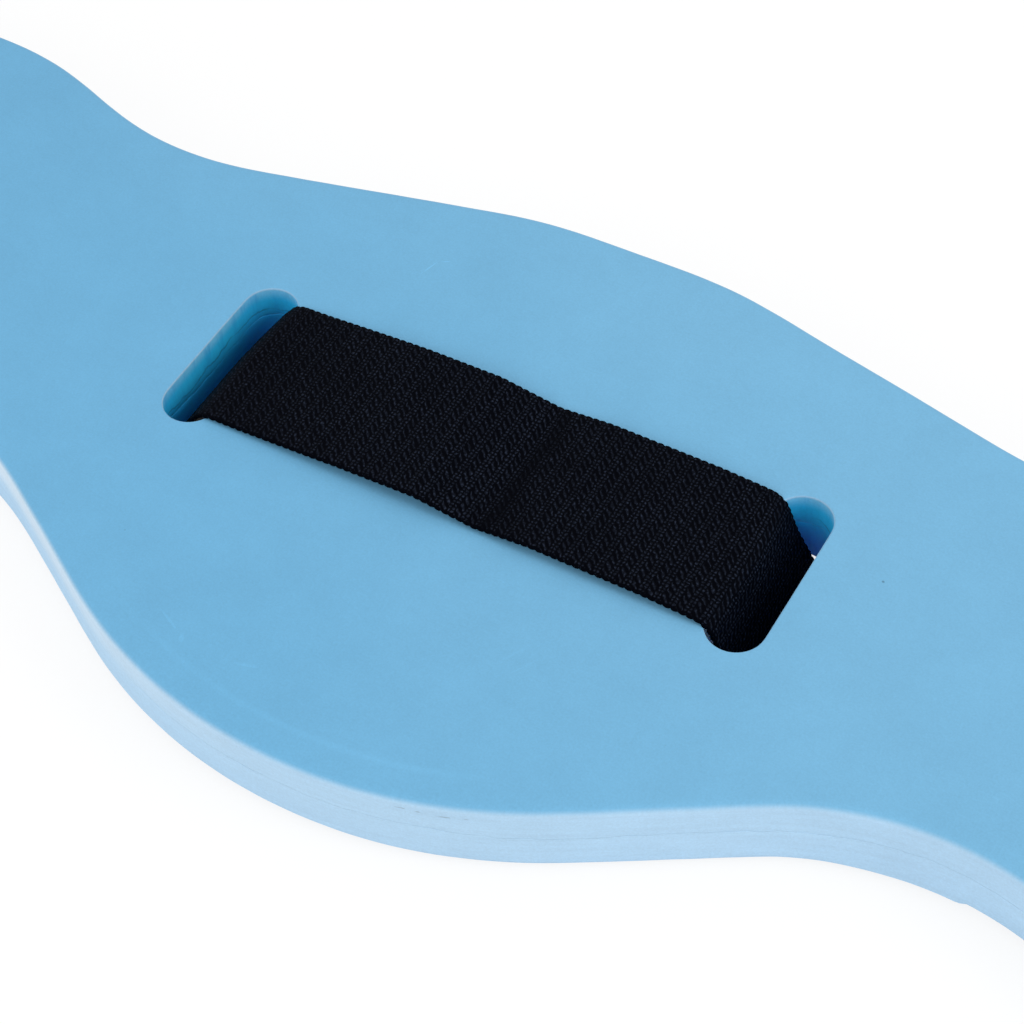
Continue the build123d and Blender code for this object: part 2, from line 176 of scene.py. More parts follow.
def evenly(loop, step, hole, softness):
    """Points about step apart on a softened closed loop, and their unit normals into the foam."""
    if (signed_area(loop) > 0) == hole:
        loop = loop[::-1]
    closed = np.vstack([loop, loop[:1]])
    along = np.concatenate([[0], np.cumsum(np.linalg.norm(np.diff(closed, axis=0), axis=1))])
    count = round(along[-1] / step)
    at = np.arange(count) * along[-1] / count
    points = np.stack([np.interp(at, along, closed[:, k]) for k in range(2)], axis=1)
    waves = np.fft.fftfreq(count, along[-1] / count)
    blur = np.exp(-2 * (math.pi * softness * waves) ** 2)[:, None]
    points = np.fft.ifft(np.fft.fft(points, axis=0) * blur, axis=0).real
    heading = np.roll(points, -1, axis=0) - np.roll(points, 1, axis=0)
    heading /= np.linalg.norm(heading, axis=1)[:, None]
    return points, np.stack([-heading[:, 1], heading[:, 0]], axis=1)


def inside(points, loop):
    """Whether each point lies in a closed loop."""
    after = np.roll(loop, -1, axis=0)
    found = np.zeros(len(points), bool)
    for (x0, y0), (x1, y1) in zip(loop, after):
        if y0 != y1:
            crosses = (y0 > points[:, 1]) != (y1 > points[:, 1])
            found ^= crosses & (points[:, 0] < (x1 - x0) * (points[:, 1] - y0) / (y1 - y0) + x0)
    return found


# ================================================================ foam plies
class Ply:
    """One foam ply: walls swept round the outline and the slots, and a face above and below."""

    def __init__(self):
        self.points = []
        self.cut = []
        self.deep = []
        self.faces = []

    def ring(self, points, into, inset, height, cut, deep=0.0):
        """A closed row of corners, inset from the loop, with its cut share and depth in a slot."""
        start = len(self.points)
        flat = points + into * np.broadcast_to(inset, len(points))[:, None]
        heights = np.broadcast_to(height, len(points))
        self.points += [(x, y, z) for (x, y), z in zip(flat, heights)]
        self.cut += [cut] * len(points)
        self.deep += list(np.broadcast_to(deep, len(points)))
        return np.arange(start, start + len(points))

    def bridge(self, rings):
        """Quads between rows that follow each other upwards."""
        for low, high in zip(rings, rings[1:]):
            self.faces += list(zip(low, np.roll(low, -1), np.roll(high, -1), high))

    @staticmethod
    def free_points(place, outer, holes, step):
        """Points of a staggered grid inside the outer row, outside the holes and off every row."""
        (x0, y0), (x1, y1) = place[outer].min(0), place[outer].max(0)
        x, y = np.meshgrid(np.arange(x0, x1, step), np.arange(y0, y1, step))
        x = x + (np.arange(len(x)) % 2)[:, None] * step / 2
        free = np.stack([x.ravel(), y.ravel()], axis=1)
        free = free[inside(free, place[outer])]
        rows = np.concatenate([place[outer], *[place[h] for h in holes]])
        free = free[np.array([np.abs(rows - p).max(1).min() > step / 2 for p in free])]
        for h in holes:
            free = free[~inside(free, place[h])]
        return free

    def face(self, outer, holes, step, upward):
        """A flat face inside the outer row and round the holes, with free points step apart."""
        place = np.array(self.points)[:, :2]
        free = self.free_points(place, outer, holes, step) if step else []
        height = self.points[outer[0]][2]
        start = len(self.points)
        self.points += [(x, y, height) for x, y in free]
        self.cut += [0.0] * len(free)
        self.deep += [0.0] * len(free)
        used = np.concatenate([outer, *holes, np.arange(start, len(self.points))])
        flat = np.array(self.points)[used, :2]
        edges = []
        first = 0
        for row in [outer, *holes]:
            edges += [(first + k, first + (k + 1) % len(row)) for k in range(len(row))]
            first += len(row)
        made = geometry.delaunay_2d_cdt([Vector(p) for p in flat], edges, [], 0, JOIN_WITHIN)
        triangles = np.array(made[2])
        middle = flat[triangles].mean(1)
        keep = inside(middle, place[outer])
        for h in holes:
            keep &= ~inside(middle, place[h])
        for a, b, c in used[triangles[keep]]:
            (xa, ya, _), (xb, yb, _), (xc, yc, _) = self.points[a], self.points[b], self.points[c]
            turns_left = (xb - xa) * (yc - ya) - (xc - xa) * (yb - ya) > 0
            self.faces.append((a, b, c) if turns_left == upward else (a, c, b))

    def mesh(self, name):
        made = bpy.data.meshes.new(name)
        faces = [tuple(int(i) for i in face) for face in self.faces]
        made.from_pydata([tuple(p) for p in self.points], [], faces)
        for label, values in (("cut", self.cut), ("deep", self.deep)):
            layer = made.attributes.new(label, "FLOAT", "POINT")
            layer.data.foreach_set("value", np.array(values, np.float32))
        made.validate()
        return made


def rim_rows(radius, side):
    """Insets, heights and shares of cut foam up a rounded rim, from the wall to the face."""
    return [(radius * (1 - math.cos(turn)),
             side * radius * (math.sin(turn) - 1),
             1 - smoothstep(*CUT_FADE, turn))
            for turn in np.linspace(0, math.pi / 2, RIM_STEPS + 1)]


def wander(points, height, depth):
    """How far a hand-cut wall strays in and out at one height."""
    return depth * layered([(x, y, height) for x, y in points], WALL_STRAY)


def knife_slip(points):
    """1 where the knife left a lip along the near edge's lower rim, 0 elsewhere."""
    x, y = np.array(points).T
    return (y < 0) * smoothstep(*SLIP_START, x) * (1 - smoothstep(*SLIP_END, x))


def ply(side, loops, rim_z):
    """A ply whose rounded rim is at rim_z, above the bond for side 1 and below it for side -1."""
    made = Ply()
    face_rings, bond_rings = [], []
    for points, into, form in loops:
        at_bond = [(x, y, BOND_Z) for x, y in points]
        bond = BOND_Z + form["wave"] * layered(at_bond, BOND_WAVE)
        depth = form["groove"] * np.clip(0.25 + layered(at_bond, [GROOVE_GAPS]), 0, 1)

        def row(inset, height, cut):
            deep = (BOARD_TOP - height) / (BOARD_TOP - BOARD_FLOOR) if form["slot"] else 0.0
            return made.ring(points, into, inset, height, cut, deep)

        cut = 0.0 if form["slot"] else 1.0
        rows = [row(BOND_REACH, BOND_Z, cut),
                row(depth, bond, cut),
                row(0.1 * depth, bond + side * BOND_LIP, cut)]
        wall_end = rim_z - side * form["radius"]
        for share in np.linspace(0, 1, WALL_ROWS + 2)[1:-1]:
            inset = wander(points, BOND_Z + side * share * STRAY_DEPTH, form["stray"])
            rows.append(row(inset, bond + share * (wall_end - bond), cut))
        edge = wander(points, BOND_Z + side * STRAY_DEPTH, form["stray"])
        if side < 0 and not form["slot"]:
            edge = edge - SLIP * knife_slip(points)
        # On a slot the rim's cut share paints a thin pale line: a painted highlight along the rim.
        for inset, drop, share in rim_rows(form["radius"], side):
            rows.append(row(edge + inset, rim_z + drop, share))
        rows.append(made.ring(points, into, edge + form["radius"] + FACE_MARGIN, rim_z, 0.0))
        made.bridge(rows if side > 0 else rows[::-1])
        bond_rings.append(rows[0])
        face_rings.append(rows[-1])
    made.face(bond_rings[0], bond_rings[1:], None, side < 0)
    made.face(face_rings[0], face_rings[1:], FACE_STEP, side > 0)
    return made


def settle(made):
    """Makes the outer face's skin slightly uneven, and presses it down along the near edge."""
    place = np.array(made.points)
    near_top = smoothstep(BOARD_TOP - 6 * MM, BOARD_TOP - 1 * MM, place[:, 2])
    away = np.hypot(place[:, 0] - CREST[0], place[:, 1] - CREST[1]) * (place[:, 1] < 0)
    near_crest = 1 - smoothstep(*PRESS_REACH, np.abs(place[:, 0]))
    pressed = PRESS_DEPTH * near_crest * smoothstep(PRESSED, PRESSED + PRESS_RUN, away)
    place[:, 2] += near_top * (layered(place, [SKIN_WAVE]) - pressed)
    made.points = [tuple(p) for p in place]


def foam_loops():
    """The outline and the slots, each as points, their normals and the form of its wall."""
    below_rim = loops_at("foam_outer_ply", BOARD_TOP - RIM_RADIUS)
    outline = max(below_rim, key=lambda loop: abs(signed_area(loop)))
    loops = [(*evenly(outline, OUTLINE_STEP, False, EDGE_SOFTNESS), EDGE)]
    for loop in loops_at("foam_outer_ply", BOARD_TOP - CAD_SLOT_RIM):
        if np.ptp(loop[:, 0]) < LONGEST_SLOT:
            loops.append((*evenly(loop, SLOT_STEP, True, SLOT_SOFTNESS), SLOT))
    return loops


# ================================================================ materials
class Nodes:
    """A small helper that adds and links shader nodes of one material."""

    def __init__(self, name):
        self.material = bpy.data.materials.new(name)
        self.material.use_nodes = True
        self.tree = self.material.node_tree
        self.shader = self.tree.nodes["Principled BSDF"]

    @functools.cached_property
    def place(self):
        return self.add("ShaderNodeTexCoord").outputs["Object"]

    def add(self, kind, settings=None, **inputs):
        """A node with settings, its inputs set or linked by name, or by number as i0, i1."""
        node = self.tree.nodes.new(kind)
        for key, value in (settings or {}).items():
            setattr(node, key, value)
        for key, value in inputs.items():
            numbered = key[0] == "i" and key[1:].isdigit()
            self.put(node.inputs[int(key[1:]) if numbered else key], value)
        return node

    def put(self, socket, value):
        if isinstance(value, bpy.types.NodeSocket):
            self.tree.links.new(value, socket)
        else:
            socket.default_value = value

    def done(self, colour, normal, roughness, specular):
        """Links or sets the shader's own sockets, and gives the material."""
        self.put(self.shader.inputs["Base Color"], colour)
        self.put(self.shader.inputs["Normal"], normal)
        self.put(self.shader.inputs["Roughness"], roughness)
        self.put(self.shader.inputs["Specular IOR Level"], specular)
        return self.material

    def math(self, operation, first, second=0.0, third=0.0):
        node = self.add("ShaderNodeMath", {"operation": operation}, i0=first, i1=second, i2=third)
        return node.outputs[0]

    def plus(self, first, second):
        return self.math("ADD", first, second)

    def minus(self, first, second):
        return self.math("SUBTRACT", first, second)

    def times(self, first, second):
        return self.math("MULTIPLY", first, second)

    def scaled(self, value, factor, base):
        """value times factor, plus base."""
        return self.math("MULTIPLY_ADD", value, factor, base)

    def ramp(self, value, low, high):
        """0 up to low, 1 from high on, and smooth between them."""
        node = self.add("ShaderNodeMapRange", {"interpolation_type": "SMOOTHSTEP"},
                        i0=value, i1=low, i2=high)
        return node.outputs[0]

    def near(self, value, middle, full, none):
        """1 as far as full from the middle, and 0 from none on."""
        away = self.math("ABSOLUTE", self.minus(value, middle))
        return self.minus(1.0, self.ramp(away, full, none))

    def mix(self, share, first, second):
        """A colour from first to second."""
        node = self.add("ShaderNodeMix", {"data_type": "RGBA"}, i0=share, i6=first, i7=second)
        return node.outputs[2]

    def noise(self, scale, detail=2.0, roughness=0.5, where=None):
        return self.add("ShaderNodeTexNoise", None, Vector=where or self.place,
                        Scale=scale, Detail=detail, Roughness=roughness).outputs["Fac"]

    def drawn_out(self, scale, detail, roughness):
        """Noise with its own scale along each axis."""
        moved = self.add("ShaderNodeMapping", {"vector_type": "POINT"},
                         Vector=self.place, Scale=scale)
        return self.noise(1.0, detail, roughness, moved.outputs[0])

    def mark(self, middle, size, turn=0.0):
        """1 inside a ragged ellipsoid and 0 outside; its middle and size in millimetres."""
        moved = self.add("ShaderNodeMapping", {"vector_type": "TEXTURE"}, Vector=self.place,
                         Location=[v * MM for v in middle], Rotation=(0, 0, math.radians(turn)),
                         Scale=[v * MM / 2 for v in size])
        reach = self.add("ShaderNodeVectorMath", {"operation": "LENGTH"}, i0=moved.outputs[0])
        ragged = self.scaled(self.noise(900.0, 1.0), 0.9, self.minus(reach.outputs["Value"], 0.45))
        return self.ramp(self.minus(1.0, ragged), 0.0, 0.6)

    def bump(self, height, distance, strength, normal=None):
        node = self.add("ShaderNodeBump", None,
                        Height=height, Distance=distance, Strength=strength)
        if normal is not None:
            self.put(node.inputs["Normal"], normal)
        return node.outputs["Normal"]


# Handling marks on the foam: middle, size, turn, and how much lighter or darker they are.
FOAM_MARKS = [
    ((-53.6, 57.6, 26), (9, 0.7, 9), 74, 0.14),
    ((-50.6, 61.6, 26), (3.5, 0.6, 9), 28, 0.12),
    ((115, 11, 26), (1.1, 0.9, 9), 0, -0.45),
    ((-75.7, -69.3, 26), (0.8, 0.8, 9), 0, -0.30),
    ((-47.0, -89.2, 26), (11, 1.0, 9), -26, 0.08),
    ((-40.5, -92.8, 26), (4, 1.8, 9), -50, 0.06),
    ((-20.5, -92.1, 26), (9.5, 1.3, 9), 16, 0.06),
    ((40.0, -56.0, 26), (1.2, 13, 9), -30, 0.04),
    ((44.5, -58.0, 26), (0.9, 11, 9), -32, 0.04),
    ((36.8, -107.5, 22.8), (3.4, 12, 0.7), 0, -0.28),
    ((41.2, -106, 22.4), (2.4, 12, 0.6), 0, -0.30),
    ((47.6, -104, 21.8), (4.2, 12, 0.8), 0, -0.32),
    ((53.0, -102, 21.9), (1.6, 12, 0.5), 0, -0.22),
]
SKIN_BLUE = (0.167, 0.480, 0.764, 1)
FAR_RIGHT_BLUE = (0.200, 0.510, 0.780, 1)
# Cut walls: partly the paler tone of cut foam, partly a painted sheen of the light on the walls.
CUT_PALE_AND_SHEEN = (0.455, 0.695, 0.925, 1)
CUT_PALER_AND_SHEEN = (0.510, 0.740, 0.945, 1)
# Painted highlight: the upper part of the walls, paler towards the near left.
HIGHLIGHT_PALE = (0.680, 0.830, 0.955, 1)
# Slot walls: a painted glow at the lip and upper wall, and painted shade deeper down.
SLOT_LIP_GLOW = (0.185, 0.630, 0.985, 1)
SLOT_UPPER_GLOW = (0.024, 0.555, 0.985, 1)
SLOT_DEEP_SHADE = (0.002, 0.250, 0.960, 1)
SLOT_CRACK = (0.010, 0.200, 0.450, 1)
SLOT_STAIN = (0.015, 0.360, 0.820, 1)


def slot_wall(n, deep):
    """The colour down a slot's wall: a painted glow near the top, painted shade bluer with depth,
    a broken bond line and stains.
    """
    lip = n.mix(n.ramp(deep, 0.03, 0.21), SLOT_LIP_GLOW, SLOT_UPPER_GLOW)
    wall = n.mix(n.ramp(deep, 0.25, 0.85), lip, SLOT_DEEP_SHADE)
    seam = n.scaled(n.noise(160.0, 3.0), 0.20, n.scaled(n.noise(32.0, 1.0), 0.30, 0.10))
    broken = n.times(n.near(deep, seam, 0.004, 0.022), n.ramp(n.noise(90.0, 2.0), 0.38, 0.58))
    wall = n.mix(n.times(broken, 0.7), wall, SLOT_CRACK)
    stained = n.ramp(n.drawn_out((330, 330, 55), 4.0, 0.7), 0.45, 0.72)
    return n.mix(n.times(stained, 0.45), wall, SLOT_STAIN)


def crease_highlight(n, x, y, cloudy):
    """1 along the faint arc where the skin starts to roll down towards the near edge, the mask of
    a painted highlight.
    """
    squares = n.plus(n.math("POWER", x, 2.0), n.math("POWER", n.minus(y, CREST[1]), 2.0))
    away = n.math("SQRT", squares)
    crease = n.times(n.near(away, PRESSED, 0.0, 1.6 * MM), n.ramp(cloudy, 0.35, 0.6))
    crease = n.times(crease, n.math("LESS_THAN", y, -0.08))
    return n.times(crease, n.near(x, 0.0, 0.035, 0.065))


def foam_material():
    """Closed-cell foam: grained blue skin, cut walls paler with a painted sheen, painted glow and
    shade in a slot.
    """
    n = Nodes("closed_cell_foam")
    cut = n.add("ShaderNodeAttribute", {"attribute_name": "cut"}).outputs["Fac"]
    deep = n.add("ShaderNodeAttribute", {"attribute_name": "deep"}).outputs["Fac"]
    x, y, z = n.add("ShaderNodeSeparateXYZ", None, Vector=n.place).outputs
    cloudy = n.noise(6.0, 3.0)
    # The skin is a little lighter towards +X and +Y.
    toward_far_right = n.ramp(n.plus(n.scaled(x, 0.9, y), n.times(cloudy, 0.25)), 0.0, 0.26)
    skin = n.mix(toward_far_right, SKIN_BLUE, FAR_RIGHT_BLUE)
    # The cut walls' paler tone with its painted sheen, varied by cloudy noise.
    pale = n.mix(cloudy, CUT_PALE_AND_SHEEN, CUT_PALER_AND_SHEEN)
    # Painted highlight: the upper walls towards the near left (-X, -Y) are painted paler.
    rim_highlight = n.times(n.ramp(z, BOARD_TOP - 16 * MM, BOARD_TOP - 4 * MM), n.ramp(x, 0.02, -0.14))
    pale = n.mix(n.times(rim_highlight, n.ramp(y, 0.0, -0.05)), pale, HIGHLIGHT_PALE)
    # Inside a slot: the painted glow and painted shade of slot_wall.
    colour = n.mix(n.ramp(deep, 0.0, 0.05), n.mix(cut, skin, pale), slot_wall(n, deep))

    fine_grain = n.noise(1500.0, 2.0, 0.6)
    shade = n.scaled(fine_grain, 0.20, 0.84)
    shade = n.scaled(n.noise(55.0, 4.0, 0.6), 0.13, n.minus(shade, 0.015))
    shade = n.scaled(n.ramp(n.minus(y, x), 0.06, 0.34), -0.035, shade)
    # A painted highlight along that crease.
    shade = n.scaled(crease_highlight(n, x, y, cloudy), 0.05, shade)
    knife_streaks = n.minus(n.drawn_out((28, 28, 620), 3.0, 0.6), 0.5)
    shade = n.scaled(n.times(cut, knife_streaks), 0.16, shade)
    shade = n.scaled(n.minus(n.noise(620.0, 2.0), 0.5), 0.07, shade)
    for middle, size, turn, change in FOAM_MARKS:
        shade = n.scaled(n.mark(middle, size, turn), change, shade)
    tinted = n.add("ShaderNodeVectorMath", {"operation": "SCALE"}, i0=colour, Scale=shade)
    grain = n.bump(n.noise(420.0, 3.0), 0.10 * MM, 0.5, n.bump(fine_grain, 0.06 * MM, 0.5))
    return n.done(tinted.outputs[0], grain, 0.62, 0.4)


YARN_SHADOW = (0.0003, 0.0006, 0.0022, 1)
YARN_LIGHT = (0.0265, 0.0355, 0.0610, 1)


def weave_height(n, weave):
    """How high the yarns stand, 0 to 1, from the weave map's count of picks and of warp ends."""
    shaken = n.add("ShaderNodeTexNoise", None, Vector=weave, Scale=0.9, Detail=1.0)
    offset = n.add("ShaderNodeVectorMath", {"operation": "SUBTRACT"},
                   i0=shaken.outputs["Color"], i1=(0.5, 0.5, 0.5))
    spread = n.add("ShaderNodeVectorMath", {"operation": "MULTIPLY_ADD"},
                   i0=offset.outputs[0], i1=(1.1, 1.1, 0.0), i2=weave)
    u, v, _ = n.add("ShaderNodeSeparateXYZ", None, Vector=spread.outputs[0]).outputs
    bars = n.scaled(n.math("COSINE", n.times(n.plus(u, v), math.pi)), 0.5, 0.5)
    dot_u = n.scaled(n.math("COSINE", n.times(u, 2 * math.pi)), -0.5, 0.5)
    dot_v = n.scaled(n.math("COSINE", n.times(v, 2 * math.pi)), -0.5, 0.5)
    dots = n.math("POWER", n.times(dot_u, dot_v), 0.48)
    slanted = n.times(n.math("POWER", bars, 1.3), n.scaled(dot_u, 0.34, 0.64))
    band = n.math("SINE", n.times(u, math.pi / 2))
    floats = n.add("ShaderNodeMix", {"data_type": "FLOAT"},
                   i0=n.ramp(band, -0.15, 0.15), i2=slanted, i3=dots)
    valley = n.ramp(n.math("ABSOLUTE", band), 0.0, 0.45)
    return n.times(floats.outputs[0], n.scaled(valley, 0.50, 0.50))


def webbing_material():
    """Black webbing: bands of slanted floats and of paired dots in turn along the strap."""
    n = Nodes("black_webbing")
    weave = n.add("ShaderNodeUVMap", {"uv_map": "weave"}).outputs[0]
    height = weave_height(n, weave)
    one_yarn = n.noise(1.7, 2.0, where=weave)
    # Painted glints on the raised yarns and painted shadow between them: lit runs from YARN_SHADOW
    # to YARN_LIGHT.
    painted_glint = n.times(n.math("POWER", height, 4.0), n.ramp(one_yarn, 0.40, 0.66))
    lit = n.plus(painted_glint, n.times(n.ramp(height, 0.15, 0.80), 0.19))
    lit = n.times(lit, n.scaled(n.noise(60.0, 2.0), 0.8, 0.6))

    # Painted shade along the crease across the middle, a painted highlight on the crown before it,
    # and the strap's darker left half
    x = n.add("ShaderNodeSeparateXYZ", None, Vector=n.place).outputs[0]
    x = n.plus(x, n.scaled(n.noise(45.0, 1.0), 5 * MM, -2.5 * MM))
    crease_shade = n.near(x, 13 * MM, 0.0, 4.5 * MM)
    crown_highlight = n.near(x, 3 * MM, 0.0, 9 * MM)
    lit = n.times(lit, n.scaled(crease_shade, -0.60, n.scaled(crown_highlight, 0.30, 1.0)))
    lit = n.times(lit, n.scaled(n.ramp(x, -0.09, -0.03), 0.28, 0.68))
    return n.done(n.mix(lit, YARN_SHADOW, YARN_LIGHT), n.bump(height, 0.30 * MM, 0.9), 0.6, 0.02)


def thread_material():
    """Black sewing thread with a fine twist."""
    n = Nodes("black_thread")
    twist = n.noise(3500.0, 1.0)
    colour = n.mix(twist, (0.004, 0.004, 0.006, 1), (0.03, 0.03, 0.036, 1))
    return n.done(colour, n.bump(twist, 0.1 * MM, 0.6), 0.45, 0.3)


def plastic_material():
    """Black acetal with the fine texture of an etched mould."""
    n = Nodes("moulded_plastic")
    etched = n.noise(2200.0, 3.0, 0.6)
    handled = n.noise(90.0, 3.0)
    colour = n.mix(handled, (0.010, 0.010, 0.012, 1), (0.018, 0.018, 0.020, 1))
    return n.done(colour, n.bump(etched, 0.06 * MM, 0.5), n.scaled(handled, 0.22, 0.36), 0.32)


foam = foam_material()
webbing = webbing_material()
thread = thread_material()
plastic = plastic_material()

loops = foam_loops()
outer_ply = ply(1, loops, BOARD_TOP)
settle(outer_ply)
outer_foam = piece("outer_foam", outer_ply.mesh("outer_foam"), "belt", foam)
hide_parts("foam_outer_ply")
inner_ply = ply(-1, loops, BOARD_FLOOR)
inner_foam = piece("inner_foam", inner_ply.mesh("inner_foam"), "belt", foam)
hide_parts("foam_inner_ply")


# ================================================================ webbing
def bent_line(route, step):
    """Points step apart along runs with a bend at each (x, z, radius), and the whole length."""
    place = [Vector((x, z)) for x, z, _ in route]
    line = [place[0]]
    for k in range(1, len(route) - 1):
        back, on = place[k - 1] - place[k], place[k + 1] - place[k]
        turn = math.pi - back.angle(on)
        room = 0.49 * min(back.length, on.length)
        reach = min(route[k][2] * math.tan(turn / 2), room)
        radius = reach / math.tan(turn / 2)
        back, on = back.normalized(), on.normalized()
        start, end = place[k] + back * reach, place[k] + on * reach
        middle = place[k] + (back + on).normalized() * radius / math.cos(turn / 2)
        count = max(2, math.ceil(turn / BEND_STEP))
        sweep = (start - middle).angle_signed(end - middle)
        spoke = start - middle
        for share in np.linspace(0, 1, count + 1):
            angle = -sweep * share
            turned = Vector((spoke.x * math.cos(angle) - spoke.y * math.sin(angle),
                             spoke.x * math.sin(angle) + spoke.y * math.cos(angle)))
            line.append(middle + turned)
    line.append(place[-1])
    line = np.array([tuple(p) for p in line])
    along = np.concatenate([[0], np.cumsum(np.linalg.norm(np.diff(line, axis=0), axis=1))])
    at = np.arange(0, along[-1], step)
    return np.stack([np.interp(at, along, line[:, k]) for k in range(2)], axis=1), along[-1]


HALF = 0.75                    # half the webbing's thickness, in millimetres like the route
LAYER = 1.6                    # from one layer of webbing to the next
LOOP = 3.25                    # from a bar's middle to the middle of the webbing round it
OVER = 27.65                   # height of the webbing's middle where it lies on the board
BAR_Z = 6.5
SOCKET_BAR = -500
LADDER_BAR = 540
LOAD_Z = 2.55                  # height of the webbing's middle on its way to the ladder bar
TAIL_Z = LOAD_Z + LAYER
SEWN_END = SOCKET_BAR + LOOP + 42
HEM = LADDER_BAR - 118

# The strap's route in millimetres: x, z, and the radius of the bend there.
socket_loop = [
    (SEWN_END, HALF + LAYER, 0),
    (SOCKET_BAR + 21, HALF + LAYER, 20),
    (SOCKET_BAR + 6, BAR_Z + LOOP, 12),
    (SOCKET_BAR - LOOP, BAR_Z + LOOP, LOOP),
    (SOCKET_BAR - LOOP, BAR_Z - LOOP, LOOP),
    (SOCKET_BAR + 6, BAR_Z - LOOP, 12),
    (SOCKET_BAR + 17, HALF, 20),
]
left_side = [
    (-402, HALF, 45),
    (-356, OVER, 30),
    (-285.5, OVER, 9),
    (-275.7, HALF, 4),
    (-92.3, HALF, 4),
]
middle_run = [
    (-91.6, 9, 12),
    (-87.4, 19.5, 9),
    (-81.2, 27.3, 6),
    (-68, 27.8, 40),
    (-34, 30.0, 60),
    (-10, 30.6, 14),
    (9.5, 27.6, 9),
    (26, 29.2, 30),
    (60, 28.9, 60),
    (73, 28.1, 14),
    (80.9, 27.2, 6),
]
right_side = [
    (90.8, HALF, 4),
    (275.7, HALF, 4),
    (285.5, OVER, 9),
    (356, OVER, 30),
    (402, LOAD_Z, 45),
]
loose_end = [
    (LADDER_BAR + LOOP, LOAD_Z, LOOP),
    (LADDER_BAR + LOOP, LOAD_Z + 2 * LOOP, LOOP),
    (LADDER_BAR - 2, LOAD_Z + 2 * LOOP, 3),
    (LADDER_BAR - 6.5, TAIL_Z, 3),
    (HEM - LAYER / 2, TAIL_Z, LAYER / 2),
    (HEM - LAYER / 2, TAIL_Z + LAYER, LAYER / 2),
    (HEM + 14, TAIL_Z + LAYER, 0),
]
strap_line, strap_length = bent_line(
    socket_loop + left_side + middle_run + right_side + loose_end, PICK / MM)
strap_line *= MM
strap_length *= MM


def headings(line):
    """Unit directions along a line of x and z, and the strap's upper side beside them."""
    step = np.gradient(line, axis=0)
    step /= np.linalg.norm(step, axis=1)[:, None]
    return step, np.stack([-step[:, 1], step[:, 0]], axis=1)


strap_run, strap_up = headings(strap_line)


def on_strap(row, aside, out):
    """The place of a point that is so far aside and out of the strap's upper side at one row."""
    (x, z), (up_x, up_z) = strap_line[row], strap_up[row]
    share = aside / (WEBBING_WIDTH / 2)
    off_middle, high = abs(x / MM), z / MM
    over_rim = smoothstep(*TWIST_IN, off_middle) * (1 - smoothstep(*TWIST_OUT, off_middle))
    twist = -math.copysign(TWIST, x) * over_rim * smoothstep(*TWIST_UP, high)
    twist *= max(0, share) ** 1.5
    lean = LEAN * share * math.exp(-((x / MM - LEAN_X) / LEAN_REACH) ** 2)
    lean += NEAR_LIFT * max(0, -share)
    lean *= 1 - smoothstep(*LEAN_FADE, off_middle)
    return x + twist + up_x * out, aside, z + up_z * out + lean


def webbing_mesh():
    """A closed ribbon: one row of corners to a pick, and on either side one to a warp yarn."""
    columns = round(WEBBING_WIDTH / END)
    aside = (np.arange(columns) - (columns - 1) / 2) * END
    half = WEBBING_THICKNESS / 2 - RELIEF
    points, weave = [], []
    for row in range(len(strap_line)):
        for side in (1, -1):
            for k in (range(columns) if side > 0 else range(columns - 1, -1, -1)):
                in_bars = row % 4 >= 2
                raised = float((row + k) % 2 == 0) if in_bars else LOW_BAND
                points.append(on_strap(row, aside[k], side * (half + RELIEF * raised)))
                weave.append((row, k))
            points.append(on_strap(row, side * (WEBBING_WIDTH / 2 - EDGE_ROUND), 0))
            weave.append((row, columns if side > 0 else -1))
    around = 2 * columns + 2
    faces = []
    for row in range(len(strap_line) - 1):
        for k in range(around):
            a, b = row * around + k, row * around + (k + 1) % around
            faces.append((a, a + around, b + around, b))
    last = (len(strap_line) - 1) * around
    for k in range(columns - 1):
        upper, lower = (k, k + 1), (around - 2 - k, around - 3 - k)
        faces.append((upper[0], upper[1], lower[1], lower[0]))
        faces.append((last + upper[1], last + upper[0], last + lower[0], last + lower[1]))
    made = bpy.data.meshes.new("webbing")
    made.from_pydata(points, [], faces)
    layer = made.uv_layers.new(name="weave")
    for loop in made.loops:
        layer.data[loop.index].uv = weave[loop.vertex_index]
    made.validate()
    return made


strap = piece("webbing", webbing_mesh(), "belt", webbing)
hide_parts("webbing_strap")


def unit_sphere(around, rings):
    """Corners and outward faces of a sphere of radius 1, with a pole above and below its rings."""
    corners = [(0, 0, 1)]
    for tilt in np.linspace(0, math.pi, rings + 2)[1:-1]:
        for turn in np.arange(around) * math.tau / around:
            corners.append((math.sin(tilt) * math.cos(turn), math.sin(tilt) * math.sin(turn),
                            math.cos(tilt)))
    corners.append((0, 0, -1))
    last = len(corners) - 1
    faces = []
    for k in range(around):
        on = (k + 1) % around
        faces += [(0, 1 + k, 1 + on), (last - around + on, last - around + k, last)]
        for ring in range(1, last - around, around):
            faces.append((ring + k, ring + around + k, ring + around + on, ring + on))
    return corners, faces


def bead_mesh(name, places):
    """Small rounded beads of half length, half width and half height BEAD at each (row, aside)."""
    corners, sides = unit_sphere(BEAD_AROUND, BEAD_RINGS)
    points, faces = [], []
    long, wide, high = BEAD
    for row, aside in places:
        start = len(points)
        base = Vector(on_strap(row, aside, 0))
        run = Vector((strap_run[row][0], 0, strap_run[row][1]))
        rise = Vector((strap_up[row][0], 0, strap_up[row][1]))
        for x, y, z in corners:
            points.append(base + run * x * long + Vector((0, y * wide, 0)) + rise * z * high)
        faces += [[start + i for i in f] for f in sides]
    made = bpy.data.meshes.new(name)
    made.from_pydata([tuple(p) for p in points], [], faces)
    return made


